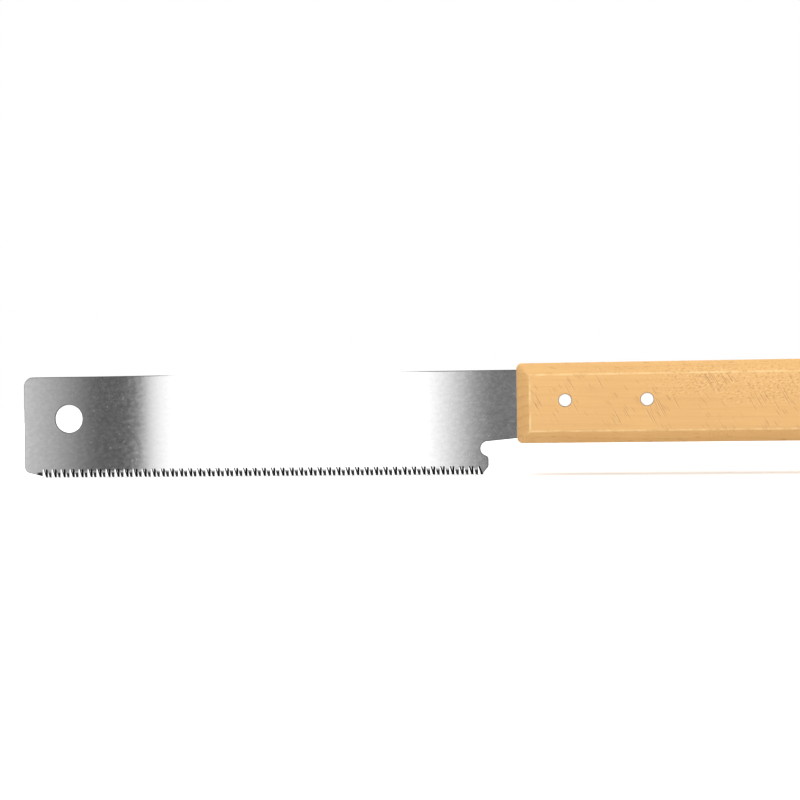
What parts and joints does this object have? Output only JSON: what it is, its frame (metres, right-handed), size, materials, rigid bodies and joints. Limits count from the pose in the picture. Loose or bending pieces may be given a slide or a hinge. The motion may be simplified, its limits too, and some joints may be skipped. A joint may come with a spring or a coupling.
{
  "type": "pull saw",
  "caption": "Small hand pull saw: a thin rectangular blade with fine set teeth and a hanging hole, pinned in the kerf of a bevelled beech handle.",
  "frame": {"origin": "on the line of the tooth tips, half way along the saw and at mid thickness", "axes": "+X from the blade's free end to the handle's butt, Y across the blade, +Z from the teeth to the blade's back"},
  "size_m": [0.2682, 0.016, 0.0297],
  "materials": {
    "blade_steel": "fine ground spring steel, with darkened hardened tooth tips",
    "beech": "clear satin lacquer over honey-coloured beech",
    "rivet_metal": "bright, sanded flush"
  },
  "bodies": {
    "root": {"blade": "blade_steel", "handle": "beech", "front_rivet": "rivet_metal", "rear_rivet": "rivet_metal"}
  },
  "joints": []
}
